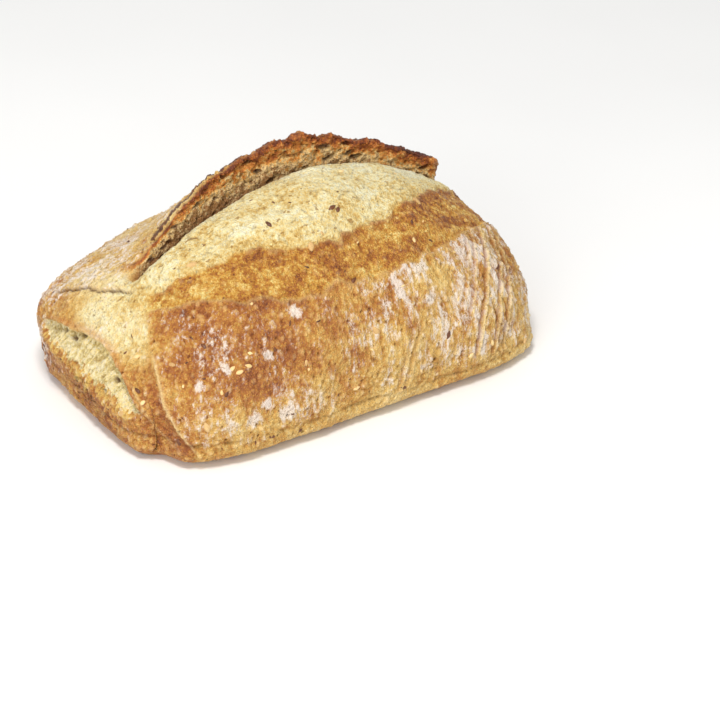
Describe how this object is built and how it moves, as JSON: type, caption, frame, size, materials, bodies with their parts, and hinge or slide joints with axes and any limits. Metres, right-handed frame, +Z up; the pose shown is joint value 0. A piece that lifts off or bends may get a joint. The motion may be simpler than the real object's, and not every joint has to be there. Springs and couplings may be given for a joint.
{
  "type": "multigrain bread loaf",
  "caption": "Oblong multigrain hearth loaf with a flat base, a pale swollen dome and a torn crust ear standing along its back, seeds baked into the crust.",
  "frame": {"origin": "middle of the bounding box in X and Y, on the flat base", "axes": "+X along the loaf to its right end, -Y the near browned flank, +Z up"},
  "size_m": [0.2438, 0.1606, 0.1126],
  "materials": {
    "crust": "matte browned bread crust, golden to dark brown, pale torn crumb on the dome and floury patches on the flanks"
  },
  "bodies": {
    "root": {"loaf": "crust"}
  },
  "joints": []
}
